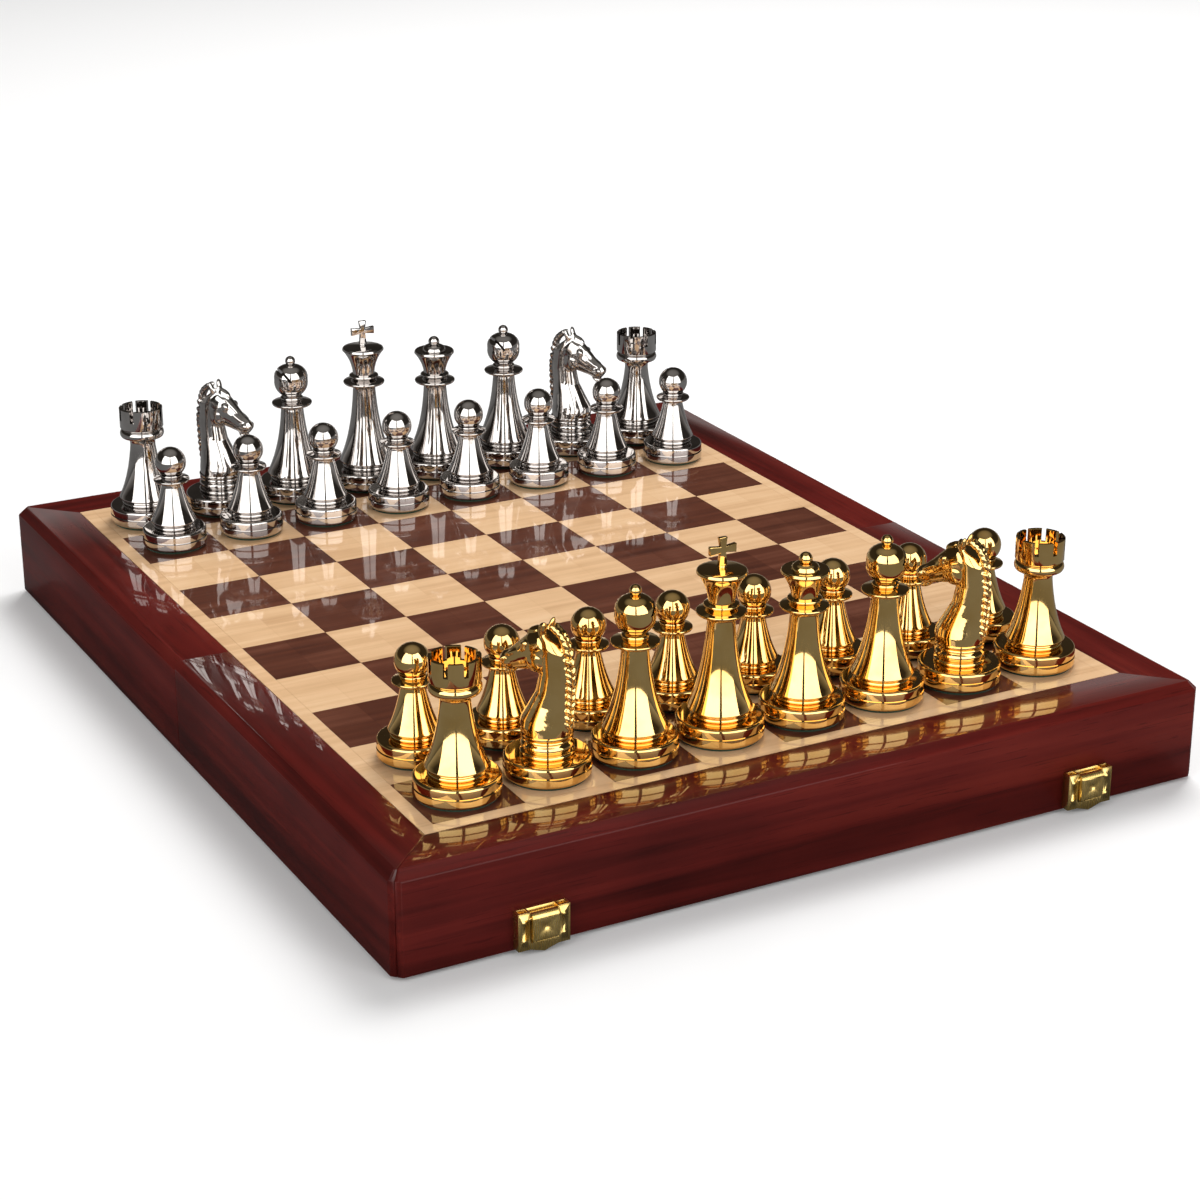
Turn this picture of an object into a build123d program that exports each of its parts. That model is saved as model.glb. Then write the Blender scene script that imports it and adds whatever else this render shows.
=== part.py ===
from build123d import *
import os
from math import cos, radians, sin

# Folding chess case with 32 metal pieces. Millimetres, +Z up, playing surface on top.
# The fold runs along X at y = 0. The near half is at -Y and the far half at +Y.
# The table is z = 0 and the middle of the case is x = y = 0.

# Playing surface
square = 31.25
file_count = 8
rank_count = 10
stringing_width = 5.0
border_width = 20.0
veneer_thickness = 0.8
veneer_gap = 0.05

# Case
case_height = 36.0
foot_height = 1.5
wall_thickness = 12.0
deck_thickness = 5.0
ledge_width = 5.0
ledge_thickness = 4.0
edge_chamfer = 3.0
corner_chamfer = 3.0

# Feet and the sockets in the other half that take them when the case is shut
foot_radius = 4.0
foot_socket_clearance = 1.2
foot_socket_depth = 2.2
foot_from_corner = 18.0
foot_stagger = 20.0

# Storage insert
insert_clearance = 0.3
insert_sheet = 2.0
divider_thickness = 3.0
divider_height = 14.0
compartment_columns = 4

# Fold hinges
hinge_offset = 82.0
hinge_length = 36.0
hinge_leaf_width = 10.5
hinge_leaf_thickness = 1.0
barrel_radius = 1.5
barrel_clearance = 0.3
hinge_pin_radius = 0.6
pin_clearance = 0.05
knuckle_gap = 0.3

# Screws
screw_head_radius = 1.6
screw_head_height = 0.8
screw_shank_radius = 0.8
screw_length = 7.0
screw_clearance = 0.1

# Latches on the near face
latch_offset = 102.0
latch_width = 17.5
latch_bottom = 2.2
latch_height = 12.6
latch_plate = 0.6
latch_front_gap = 2.0
latch_front_plate = 0.8
latch_arm_width = 4.0
latch_tip_drop = 1.5
latch_bridge_height = 2.2
rivet_radius = 0.7
rivet_height = 0.3
lever_gap = 0.3
lever_pivot_out = 2.9
lever_pivot_drop = 2.4
lever_round = 1.9
lever_pin_radius = 0.6
lever_back_gap = 1.4
lever_front_out = 4.8
lever_finger_gap = 0.5

# Straps on the far face
strap_width = 14.0
strap_height = 12.0
strap_bottom = 2.0
strap_axis_rise = 2.2
strap_knuckle_radius = 1.0
strap_pin_radius = 0.4
tongue_width = 8.0
tongue_thickness = 0.8
tongue_length = 10.0
tongue_axis_out = 1.3
tongue_slot_width = 3.0
tongue_slot_height = 2.0

# Chess pieces: what all of them share
felt_thickness = 0.8
felt_inset = 1.2
base_height = 8.3
base_groove_height = 4.6
base_groove_depth = 0.35
base_edge = 0.8
ring_height = 1.6
lip_thickness = 0.8

# Chess pieces: one set of sizes for each kind, with z measured from the playing surface
pawn = dict(base=25.5, lip=17.6, lip_z=11.6, neck=7.2, neck_z=26.0, collar=13.8, head=12.4, height=41.0)
rook = dict(base=28.0, lip=20.0, lip_z=12.0, neck=10.4, neck_z=31.0, flare=16.4, turret=17.0,
            turret_z=38.6, wall=1.5, slots=8, slot_width=1.5, slot_depth=4.0, height=46.0)
bishop = dict(base=28.0, lip=21.5, lip_z=12.4, neck=10.0, neck_z=36.5, collar=15.6, head=13.4,
              ball=3.8, slit=0.9, slit_angle=32.0, height=57.0)
queen = dict(base=28.0, lip=22.4, lip_z=12.6, neck=9.4, neck_z=35.0, collar=16.6, crown_foot=10.6,
             crown=16.3, crown_z=50.3, dome=9.7, ball=4.9, height=58.0)
king = dict(base=29.0, lip=23.3, lip_z=12.6, neck=9.3, neck_z=38.5, collar=16.6, crown_foot=11.0,
            crown=16.4, crown_z=56.5, knob=4.3, cross_width=9.6, cross_height=9.8, cross_plate=1.5,
            cross_arm=3.0, height=68.0)
knight = dict(base=28.0, barrel=18.4, barrel_z=15.2, ring=16.8, ring_z=18.0, mane_width=3.4,
              height=53.0, turn=30.0)
back_row = ["rook", "knight", "bishop", "king", "queen", "bishop", "knight", "rook"]
file_names = "abcdefgh"

# Sizes that follow
ranks_per_half = rank_count // 2
board_width = file_count * square
margin = border_width + stringing_width
case_width = board_width + 2 * margin
half_depth = ranks_per_half * square + margin
half_width = case_width / 2
rim = foot_height
veneer_under = case_height - veneer_thickness
deck_under = veneer_under - deck_thickness
ledge_under = deck_under - ledge_thickness
recess_half_width = half_width - border_width
recess_depth = half_depth - border_width
inner_half_width = half_width - wall_thickness
inner_depth = half_depth - wall_thickness
strap_axis_z = strap_bottom + strap_axis_rise
latch_top = latch_bottom + latch_height
lever_pivot_z = latch_top - lever_pivot_drop


def block(x0, x1, y0, y1, z0, z1):
    return Pos((x0 + x1) / 2, (y0 + y1) / 2, (z0 + z1) / 2) * Box(x1 - x0, y1 - y0, z1 - z0)


def upright(x, y, z0, z1, radius):
    return Pos(x, y, (z0 + z1) / 2) * Cylinder(radius, z1 - z0)


def rod_along_x(x0, x1, y, z, radius):
    return Pos((x0 + x1) / 2, y, z) * Rot(0, 90, 0) * Cylinder(radius, x1 - x0)


def prism(points, z0, z1):
    face = make_face(Polyline(*points, close=True))
    return Pos(0, 0, z0) * extrude(face, z1 - z0)


def slab_along_x(points, x0, x1):
    """Extrude an outline of (y, z) points along X."""
    face = make_face(Plane.YZ * Polyline(*points, close=True))
    return Pos(x0, 0, 0) * extrude(face, x1 - x0, dir=(1, 0, 0))


def slab_along_y(points, y0, y1):
    """Extrude an outline of (x, z) points along Y."""
    face = make_face(Polyline(*[(x, 0, z) for x, z in points], close=True))
    return Pos(0, y0, 0) * extrude(face, y1 - y0, dir=(0, 1, 0))


def to_far(shape):
    return mirror(shape, about=Plane.XZ)


def group(solids):
    return Compound(children=[s for part in solids for s in part.solids()])


# Case frame

def half_blank():
    """The near half's outer form: the outer edges and corners are chamfered, the fold face is plain."""
    corners = [(-half_width, 0), (-half_width, corner_chamfer - half_depth),
               (corner_chamfer - half_width, -half_depth), (half_width - corner_chamfer, -half_depth),
               (half_width, corner_chamfer - half_depth), (half_width, 0)]
    body = prism(corners, rim, case_height)
    edges = [e for e in body.faces().sort_by(Axis.Z)[-1].edges() if e.center().Y < -1]
    return chamfer(edges, edge_chamfer)


def half_frame():
    """The blank with its inside, its ledge opening and the recess for the deck taken out."""
    over = 1.0
    inside = block(-inner_half_width, inner_half_width, -inner_depth, over, rim - over, ledge_under)
    lip = ledge_width + border_width
    opening = block(lip - half_width, half_width - lip, lip - half_depth, over, ledge_under - over, deck_under)
    recess = block(-recess_half_width, recess_half_width, -recess_depth, over, deck_under, case_height + over)
    return half_blank() - inside - opening - recess


def outer_rail_area():
    reach = half_width
    return prism([(-half_width, -half_depth), (half_width, -half_depth), (half_width - reach, reach - half_depth)],
                 0, case_height)


def hinge_rail():
    return block(-inner_half_width, inner_half_width, -wall_thickness, 0, rim, ledge_under) + \
        block(ledge_width + border_width - half_width, half_width - ledge_width - border_width,
              -wall_thickness, 0, ledge_under, deck_under)


# Feet stand at four places under each half. The far ones are staggered along X, so that each foot
# meets a socket in the other rim, and never another foot, when the case is shut.

def foot_places(stagger):
    outer_y = half_depth - wall_thickness / 2
    inner_y = wall_thickness / 2
    x = half_width - foot_from_corner - stagger
    return [(side * x, y) for side in (-1, 1) for y in (outer_y, inner_y)]


near_foot_places = foot_places(0)
far_foot_places = foot_places(foot_stagger)


def feet(places):
    return [chamfer(upright(x, -y, 0, rim, foot_radius).edges().sort_by(Axis.Z)[0], 0.4) for x, y in places]


def foot_sockets(places):
    radius = foot_radius + foot_socket_clearance
    return [upright(x, -y, rim - 1, rim + foot_socket_depth, radius) for x, y in places]


# Fold hinges: a leaf on each rim, three knuckles and a pin on the fold line

hinge_centres = [-hinge_offset, hinge_offset]
knuckle_length = hinge_length / 3


def hinge_leaf(x, outer_knuckles):
    """A near leaf and its knuckles. The far leaf is mirrored and has the middle knuckle."""
    half = hinge_length / 2
    leaf = block(x - half, x + half, -hinge_leaf_width, -barrel_radius - barrel_clearance,
                 rim, rim + hinge_leaf_thickness)
    end = knuckle_length / 2
    if outer_knuckles:
        spans = [(x - half, x - end - knuckle_gap / 2), (x + end + knuckle_gap / 2, x + half)]
    else:
        spans = [(x - end + knuckle_gap / 2, x + end - knuckle_gap / 2)]
    for x0, x1 in spans:
        leaf += rod_along_x(x0, x1, 0, rim, barrel_radius)
        leaf += block(x0, x1, -barrel_radius - barrel_clearance, 0, rim, rim + hinge_leaf_thickness)
    leaf -= rod_along_x(x - half - 1, x + half + 1, 0, rim, hinge_pin_radius + pin_clearance)
    for sx, sy in hinge_screw_places(x):
        leaf -= screw_hole(sx, sy, rim)
    return leaf


def hinge_screw_places(x):
    y = -(hinge_leaf_width + barrel_radius) / 2
    return [(x - hinge_length / 3, y), (x + hinge_length / 3, y)]


def hinge_pin(x):
    half = hinge_length / 2
    return rod_along_x(x - half, x + half, 0, rim, hinge_pin_radius)


def hinge_rebate(x):
    half = hinge_length / 2 + screw_clearance
    leaf = block(x - half, x + half, -hinge_leaf_width - screw_clearance, 1, rim - 1, rim + hinge_leaf_thickness)
    return leaf + rod_along_x(x - half, x + half, 0, rim, barrel_radius + barrel_clearance)


def screw(x, y, z):
    """A screw driven upwards into a rim, with its head flush at z."""
    head = upright(x, y, z, z + screw_head_height, screw_head_radius)
    return head + upright(x, y, z + screw_head_height, z + screw_length, screw_shank_radius)


def screw_hole(x, y, z):
    head = upright(x, y, z - 1, z + screw_head_height, screw_head_radius + screw_clearance)
    return head + upright(x, y, z, z + screw_length, screw_shank_radius + screw_clearance)


# Deck, veneers and stringing

def deck():
    return block(-recess_half_width, recess_half_width, -recess_depth, 0, deck_under, veneer_under)


def squares(dark):
    """The near half's squares of one colour. The near left corner square is dark."""
    found = []
    for file in range(file_count):
        for rank in range(ranks_per_half):
            if ((file + rank) % 2 == 0) != dark:
                continue
            x = -board_width / 2 + file * square
            y = -half_depth + margin + rank * square
            found.append(block(x + veneer_gap, x + square - veneer_gap, y + veneer_gap, y + square - veneer_gap,
                               veneer_under, case_height))
    return found


def stringing():
    outer = prism([(-recess_half_width, -recess_depth), (recess_half_width, -recess_depth),
                   (recess_half_width, 0), (-recess_half_width, 0)], veneer_under, case_height)
    inner_x = recess_half_width - stringing_width
    inner_y = recess_depth - stringing_width
    return outer - block(-inner_x, inner_x, -inner_y, 1, veneer_under - 1, case_height + 1)


# Storage insert: a lined sheet under the deck with divider strips, two rows of compartments

insert_half_width = inner_half_width - insert_clearance
insert_front = -inner_depth + insert_clearance
insert_back = -wall_thickness - insert_clearance
divider_y = (insert_front + insert_back) / 2
column_width = 2 * insert_half_width / compartment_columns
divider_top = ledge_under - insert_sheet
divider_bottom = divider_top - divider_height


def storage_insert():
    solids = [block(-insert_half_width, insert_half_width, insert_front, insert_back, divider_top, ledge_under)]
    half = divider_thickness / 2
    solids.append(block(-insert_half_width, insert_half_width, divider_y - half, divider_y + half,
                        divider_bottom, divider_top))
    for column in range(1, compartment_columns):
        x = -insert_half_width + column * column_width
        for y0, y1 in ((insert_front, divider_y - half), (divider_y + half, insert_back)):
            solids.append(block(x - half, x + half, y0, y1, divider_bottom, divider_top))
    return solids


# Latch: a folded plate with a U-shaped front on the near face, and a lever that pivots at its top

latch_centres = [-latch_offset, latch_offset]
front_inner = latch_plate + latch_front_gap
front_outer = front_inner + latch_front_plate


def latch_plate_solid(x):
    face = -half_depth
    half = latch_width / 2
    arm_inner = half - latch_arm_width
    back = block(x - half, x + half, face - latch_plate, face, latch_bottom, latch_top)
    arms = [(x - half, x - arm_inner), (x + arm_inner, x + half)]
    solid = back
    for x0, x1 in arms:
        solid += block(x0, x1, face - front_outer, face - front_inner, latch_bottom, latch_top)
    for x0 in (x - half, x + half - latch_plate):
        solid += block(x0, x0 + latch_plate, face - front_inner, face - latch_plate, latch_bottom, latch_top)
    tip = latch_bottom - latch_tip_drop
    bridge = slab_along_y([(x - half, latch_bottom), (x - arm_inner, latch_bottom), (x, tip),
                           (x + arm_inner, latch_bottom), (x + half, latch_bottom),
                           (x + half, latch_bottom + latch_bridge_height),
                           (x - half, latch_bottom + latch_bridge_height)],
                          face - front_outer, face - front_inner)
    solid += bridge
    for rx in (x - half + latch_arm_width / 2, x + half - latch_arm_width / 2):
        for rz in (latch_bottom + latch_height / 4, latch_top - latch_height / 4):
            rivet = Pos(rx, face - front_outer - rivet_height / 2, rz) * Rot(90, 0, 0) * Cylinder(rivet_radius,
                                                                                               rivet_height)
            solid += rivet
    pin = rod_along_x(x - arm_inner - 0.5, x + arm_inner + 0.5, face - lever_pivot_out, lever_pivot_z,
                      lever_pin_radius)
    ears = [block(x - arm_inner - latch_plate, x - arm_inner, face - front_outer, face - latch_plate,
                  lever_pivot_z - lever_round / 2, latch_top),
            block(x + arm_inner, x + arm_inner + latch_plate, face - front_outer, face - latch_plate,
                  lever_pivot_z - lever_round / 2, latch_top)]
    return solid + ears[0] + ears[1] + pin


def latch_lever(x):
    """The lever hangs from its pin between the arms. Its lower end stands clear for a fingertip."""
    face = -half_depth
    half = latch_width / 2 - latch_arm_width - lever_gap
    pivot_y = face - lever_pivot_out
    bottom = latch_bottom + latch_bridge_height + lever_finger_gap
    back_y = face - latch_plate - lever_back_gap
    front_y = face - lever_front_out
    body = slab_along_x([(back_y, lever_pivot_z), (back_y, bottom + 1.2), (front_y + 1.6, bottom),
                         (front_y, bottom + 0.6), (front_y, lever_pivot_z)], x - half, x + half)
    body += rod_along_x(x - half, x + half, pivot_y, lever_pivot_z, lever_round)
    dimple = Pos(x, front_y - 1.6, (bottom + lever_pivot_z) / 2 + 1) * Sphere(2.0)
    bore = rod_along_x(x - half - 1, x + half + 1, pivot_y, lever_pivot_z, lever_pin_radius + pin_clearance)
    return body - bore - dimple


# Strap: a plate on the far face and a tongue that swings over the rim into the latch

strap_face = half_depth
strap_half = strap_width / 2
tongue_half = tongue_width / 2


def strap_plate(x):
    plate = block(x - strap_half, x + strap_half, strap_face, strap_face + latch_plate,
                  strap_bottom, strap_bottom + strap_height)
    notch = strap_knuckle_radius + barrel_clearance
    inner = tongue_half - latch_plate + knuckle_gap
    plate -= block(x - inner, x + inner, strap_face - 1, strap_face + 3, strap_axis_z - notch, strap_axis_z + notch)
    axis_y = strap_face + tongue_axis_out
    for x0, x1 in ((x - strap_half, x - inner), (x + inner, x + strap_half)):
        plate += rod_along_x(x0, x1, axis_y, strap_axis_z, strap_knuckle_radius)
        plate += block(x0, x1, strap_face, axis_y, strap_axis_z - latch_plate / 2, strap_axis_z + latch_plate / 2)
    plate += rod_along_x(x - strap_half, x + strap_half, axis_y, strap_axis_z, strap_pin_radius)
    for side in (-1, 1):
        rivet = Pos(x + side * (strap_half - 1.4), strap_face + latch_plate + rivet_height / 2,
                    strap_bottom + strap_height - 1.6) * Rot(90, 0, 0) * Cylinder(rivet_radius, rivet_height)
        plate += rivet
    return plate


def latch_tongue(x):
    """The tongue, stowed upwards along the far face."""
    axis_y = strap_face + tongue_axis_out
    half_thick = tongue_thickness / 2
    inner = tongue_half - latch_plate
    blade = block(x - inner, x + inner, axis_y - half_thick, axis_y + half_thick,
                  strap_axis_z, strap_axis_z + tongue_length)
    blade += rod_along_x(x - inner, x + inner, axis_y, strap_axis_z, strap_knuckle_radius)
    slot_z = strap_axis_z + tongue_length * 0.7
    blade -= block(x - tongue_slot_width / 2, x + tongue_slot_width / 2, axis_y - 1, axis_y + 1,
                   slot_z - tongue_slot_height / 2, slot_z + tongue_slot_height / 2)
    return blade - rod_along_x(x - inner - 1, x + inner + 1, axis_y, strap_axis_z, strap_pin_radius + pin_clearance)


# Chess pieces. A turned form is a list of stations from the bottom up: (radius, z) is a straight
# run to that point, (radius, z, bow) an arc whose middle stands off the chord by bow, outwards
# when positive, and (radius, z, control radius, control z) a curve drawn towards its control point.

def turned(stations):
    start = stations[0]
    here = (0, start[1])
    lines = []
    for station in stations:
        there = station[:2]
        a = (here[0], 0, here[1])
        b = (there[0], 0, there[1])
        if len(station) == 3:
            lines.append(bowed(here, there, station[2]))
        elif len(station) == 4:
            lines.append(Bezier(a, (station[2], 0, station[3]), b))
        else:
            lines.append(Line(a, b))
        here = there
    lines.append(Line((here[0], 0, here[1]), (0, 0, start[1])))
    return revolve(make_face(lines), axis=Axis.Z)


def bowed(here, there, bow):
    dr, dz = there[0] - here[0], there[1] - here[1]
    length = (dr * dr + dz * dz) ** 0.5
    middle = ((here[0] + there[0]) / 2 + bow * dz / length, (here[1] + there[1]) / 2 - bow * dr / length)
    return ThreePointArc((here[0], 0, here[1]), (middle[0], 0, middle[1]), (there[0], 0, there[1]))


def base_stations(size):
    r = size["base"] / 2
    z = felt_thickness
    return [(r - base_edge, z), (r, z + base_edge, base_edge * 0.3), (r, base_groove_height - 0.3),
            (r - base_groove_depth, base_groove_height), (r - 0.1, base_groove_height + 0.3),
            (r - 0.1, base_height - base_edge), (r - 0.1 - base_edge, base_height, base_edge * 0.3)]


def bell_stations(size):
    """The small ring, the lip and the hollow bell up to the neck."""
    lip, lip_z = size["lip"] / 2, size["lip_z"]
    neck, neck_z = size["neck"] / 2, size["neck_z"]
    ring = lip * 0.86
    return [(ring, base_height + 0.2), (ring, base_height + ring_height, 0.6),
            (lip - 1.5, base_height + ring_height + 0.2), (lip - 0.2, lip_z - lip_thickness),
            (lip, lip_z, 0.15), (neck, neck_z, neck + 0.35 * (lip - neck), lip_z + 0.42 * (neck_z - lip_z))]


def collar_stations(radius, z, foot):
    """A thin collar with a sloping top, on a short flare, and the small ring above it."""
    return [(radius - 0.5, z - 0.9, foot, z - 1.2), (radius, z - 0.3, 0.1), (radius - 0.3, z + 0.3, 0.15),
            (foot, z + 1.2)]


def ball_stations(radius, z, foot, bow=0.0):
    """A ball with its middle at z, from where it meets a stem of radius foot up to its top."""
    low = z - (radius * radius - foot * foot) ** 0.5
    side = (radius * cos(radians(20)), z + radius * sin(radians(20)))
    reach = ((side[0] - foot) ** 2 + (side[1] - low) ** 2) ** 0.5
    first_bow = radius - (radius ** 2 - (reach / 2) ** 2) ** 0.5
    rest = (side[0] ** 2 + (z + radius - side[1]) ** 2) ** 0.5
    second_bow = radius - (radius ** 2 - (rest / 2) ** 2) ** 0.5
    start = (foot, low, bow) if bow else (foot, low)
    return [start, (side[0], side[1], first_bow), (0, z + radius, second_bow)]


def pawn_form():
    r = pawn["head"] / 2
    neck, neck_z = pawn["neck"] / 2, pawn["neck_z"]
    collar_z = neck_z + 2.0
    return turned(base_stations(pawn) + bell_stations(pawn)
                  + collar_stations(pawn["collar"] / 2, collar_z, neck)
                  + [(neck + 0.3, collar_z + 2.0, 0.3)]
                  + ball_stations(r, pawn["height"] - r, neck - 0.4))


def rook_form():
    neck, neck_z = rook["neck"] / 2, rook["neck_z"]
    flare, top = rook["turret"] / 2, rook["height"]
    turret_z = rook["turret_z"]
    inside = flare - rook["wall"]
    body = turned(base_stations(rook) + bell_stations(rook)
                  + [(neck, neck_z + 1.6), (rook["flare"] / 2 - 0.3, turret_z - 2.0, neck + 0.3, turret_z - 2.6),
                     (rook["flare"] / 2, turret_z - 0.7, 0.25), (flare - 0.9, turret_z - 0.2),
                     (flare, turret_z + 0.5, 0.1), (flare, top), (inside, top), (inside, turret_z + 1.5),
                     (0, turret_z + 3.2)])
    for slot in range(rook["slots"]):
        cut = Pos(flare, 0, top) * Box(rook["wall"] * 4, rook["slot_width"], rook["slot_depth"] * 2)
        body -= Rot(0, 0, slot * 360 / rook["slots"]) * cut
    return body


def bishop_form():
    neck, neck_z = bishop["neck"] / 2, bishop["neck_z"]
    collar_z = neck_z + 2.4
    head, ball = bishop["head"] / 2, bishop["ball"] / 2
    ball_z = bishop["height"] - ball
    wide_z = collar_z + 8.4
    body = turned(base_stations(bishop) + bell_stations(bishop)
                  + collar_stations(bishop["collar"] / 2, collar_z, neck - 0.4)
                  + [(neck - 0.2, collar_z + 2.4, 0.4), (neck - 1.2, collar_z + 2.9),
                     (head, wide_z, 0.9)]
                  + ball_stations(ball, ball_z, ball * 0.6, 2.0))
    slit = Rot(0, bishop["slit_angle"], 0) * Box(bishop["slit"], bishop["head"] * 2, bishop["head"])
    return body - Pos(head * 0.9, 0, wide_z + head * 0.9) * slit


def crown_stations(size):
    """Collar, the flared crown above it and the crown's flat top."""
    neck, neck_z = size["neck"] / 2, size["neck_z"]
    foot, rim_r, rim_z = size["crown_foot"] / 2, size["crown"] / 2, size["crown_z"]
    collar_z = neck_z + 3.0
    return (collar_stations(size["collar"] / 2, collar_z, neck)
            + [(foot, collar_z + 1.8), (foot, collar_z + 2.8, 0.35), (neck - 0.2, collar_z + 3.2),
               (rim_r - 0.2, rim_z - 0.5, neck + 0.2, rim_z - 4.5), (rim_r, rim_z + 0.2, 0.2),
               (rim_r - 0.5, rim_z + 0.9, 0.15)])


def queen_form():
    dome, ball = queen["dome"] / 2, queen["ball"] / 2
    rim_z = queen["crown_z"]
    ball_z = queen["height"] - ball
    return turned(base_stations(queen) + bell_stations(queen) + crown_stations(queen)
                  + [(dome + 1.6, rim_z + 0.6), (dome, rim_z + 0.9)]
                  + ball_stations(ball, ball_z, ball * 0.6, 1.1))


def king_form():
    knob = king["knob"] / 2
    rim_z, top = king["crown_z"], king["height"]
    cross_foot = top - king["cross_height"]
    body = turned(base_stations(king) + bell_stations(king) + crown_stations(king)
                  + [(king["crown"] / 2 - 1.8, rim_z + 1.2), (knob - 0.4, rim_z + 1.6),
                     (knob - 0.6, cross_foot + 0.8, 0.6), (0, cross_foot + 0.8)])
    return body + cross(cross_foot, top)


def cross(foot, top):
    """A flat cross whose four arms widen outwards."""
    wide, narrow = king["cross_arm"] / 2, king["cross_arm"] / 3
    reach = king["cross_width"] / 2
    mid = foot + 0.58 * (top - foot)
    outline = [(-wide, foot), (wide, foot), (narrow, mid - narrow), (reach, mid - wide), (reach, mid + wide),
               (narrow, mid + narrow), (wide, top), (-wide, top), (-narrow, mid + narrow),
               (-reach, mid + wide), (-reach, mid - wide), (-narrow, mid - narrow)]
    return slab_along_y(outline, -king["cross_plate"] / 2, king["cross_plate"] / 2)


def oval(forward, z, lean, deep, wide):
    """A cross-section of the knight: an oval in a plane that leans about X by the angle given."""
    return Pos(0, forward, z) * Rot(lean, 0, 0) * Ellipse(wide, deep).face()


def knight_form():
    """The knight looks along +Y. Its neck and head are drawn through ovals."""
    r, barrel = knight["base"] / 2, knight["barrel"] / 2
    ring, ring_z = knight["ring"] / 2, knight["ring_z"]
    barrel_z = knight["barrel_z"]
    stand = turned(base_stations(knight)
                   + [(barrel - 0.6, base_height + 0.2), (barrel - 0.4, base_height + ring_height, 0.5),
                      (barrel - 1.2, base_height + ring_height + 0.4), (barrel - 1.0, barrel_z, 0.9),
                      (ring - 0.8, barrel_z + 0.4), (ring - 0.2, barrel_z + 1.4, 0.4), (ring - 0.7, barrel_z + 1.6),
                      (ring, ring_z, 0.35), (0, ring_z)])
    top = knight["height"]
    neck = loft([oval(0, ring_z, 0, 7.9, 7.8), oval(-0.2, ring_z + 6, -6, 8.2, 6.9),
                 oval(-2.2, ring_z + 13, -10, 6.6, 5.2), oval(-3.6, ring_z + 20, -4, 5.8, 4.5),
                 oval(-2.6, top - 8, 18, 5.4, 4.2), oval(-0.6, top - 3, 40, 3.6, 3.0)])
    head = loft([oval(-3.4, top - 5.5, 48, 4.2, 3.0), oval(1.2, top - 8.2, 48, 6.2, 4.6),
                 oval(6.2, top - 13.2, 48, 4.9, 3.9), oval(10.6, top - 17.6, 48, 3.4, 2.9),
                 oval(13.2, top - 20.0, 48, 2.9, 2.6)])
    jaw = Pos(0, 2.6, top - 11.5) * Rot(0, 90, 0) * Cylinder(4.2, 7.2)
    mane = slab_along_x([(-7.4, ring_z + 1), (-9.2, ring_z + 6), (-10.0, ring_z + 14), (-10.2, ring_z + 22),
                         (-8.8, top - 7), (-6.0, top - 2.2), (-2.6, top - 0.6), (-2.6, top - 6),
                         (-6.6, top - 12), (-6.6, ring_z + 12), (-5.0, ring_z + 1)],
                        -knight["mane_width"] / 2, knight["mane_width"] / 2)
    form = stand + neck + head + jaw + mane
    for side in (-1, 1):
        ear = Pos(side * 2.5, -1.6, top - 2.4) * Rot(-12, side * 8, 0) * Cone(1.4, 0.3, 4.8)
        form += ear
    return form


forms = {"pawn": pawn_form(), "rook": rook_form(), "bishop": bishop_form(), "queen": queen_form(),
         "king": king_form(), "knight": knight_form()}
sizes = {"pawn": pawn, "rook": rook, "bishop": bishop, "queen": queen, "king": king, "knight": knight}


def chess_piece(kind, x, y, turn):
    """A metal form and its felt pad on the playing surface."""
    felt = upright(0, 0, 0, felt_thickness, sizes[kind]["base"] / 2 - felt_inset)
    place = Pos(x, y, case_height) * Rot(0, 0, turn)
    return [place * forms[kind], place * felt]


def all_pieces():
    back_y = half_depth - margin - square / 2
    pawn_y = back_y - square
    nodes = {}
    for colour, side, turn in (("gold", -1, 0), ("silver", 1, 180)):
        for file, kind in enumerate(back_row):
            x = -board_width / 2 + (file + 0.5) * square
            own_turn = knight["turn"] if kind == "knight" else 0
            nodes[f"{colour}_{kind}_{file_names[file]}"] = chess_piece(kind, x, side * back_y, turn + own_turn)
            nodes[f"{colour}_pawn_{file_names[file]}"] = chess_piece("pawn", x, side * pawn_y, turn)
    return nodes


def cut_all(solid, cutters):
    for cutter in cutters:
        solid = solid - cutter
    return solid


def case_half(prefix, outer_name, own_feet, other_feet, outer_knuckles):
    """Every node of one half, modelled as the near one, before the far one is mirrored."""
    frame = cut_all(half_frame(), foot_sockets(other_feet))
    area = outer_rail_area()
    outer_rail = frame & area
    side_rails = frame - area
    rail = cut_all(hinge_rail(), foot_sockets(other_feet) + [hinge_rebate(x) for x in hinge_centres])
    screw_places = [place for x in hinge_centres for place in hinge_screw_places(x)]
    rail = cut_all(rail, [screw_hole(x, y, rim) for x, y in screw_places])
    return {
        f"{prefix}_{outer_name}": [outer_rail],
        f"{prefix}_side_rails": [side_rails],
        f"{prefix}_hinge_rail": [rail],
        f"{prefix}_deck": [deck()],
        f"{prefix}_dark_squares": squares(True),
        f"{prefix}_light_squares": squares(False),
        f"{prefix}_stringing": [stringing()],
        f"{prefix}_storage_insert": storage_insert(),
        f"{prefix}_feet": feet(own_feet),
        f"{prefix}_hinge_leaves": [hinge_leaf(x, outer_knuckles) for x in hinge_centres],
        f"{prefix}_hinge_screws": [screw(x, y, rim) for x, y in screw_places],
    }


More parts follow.
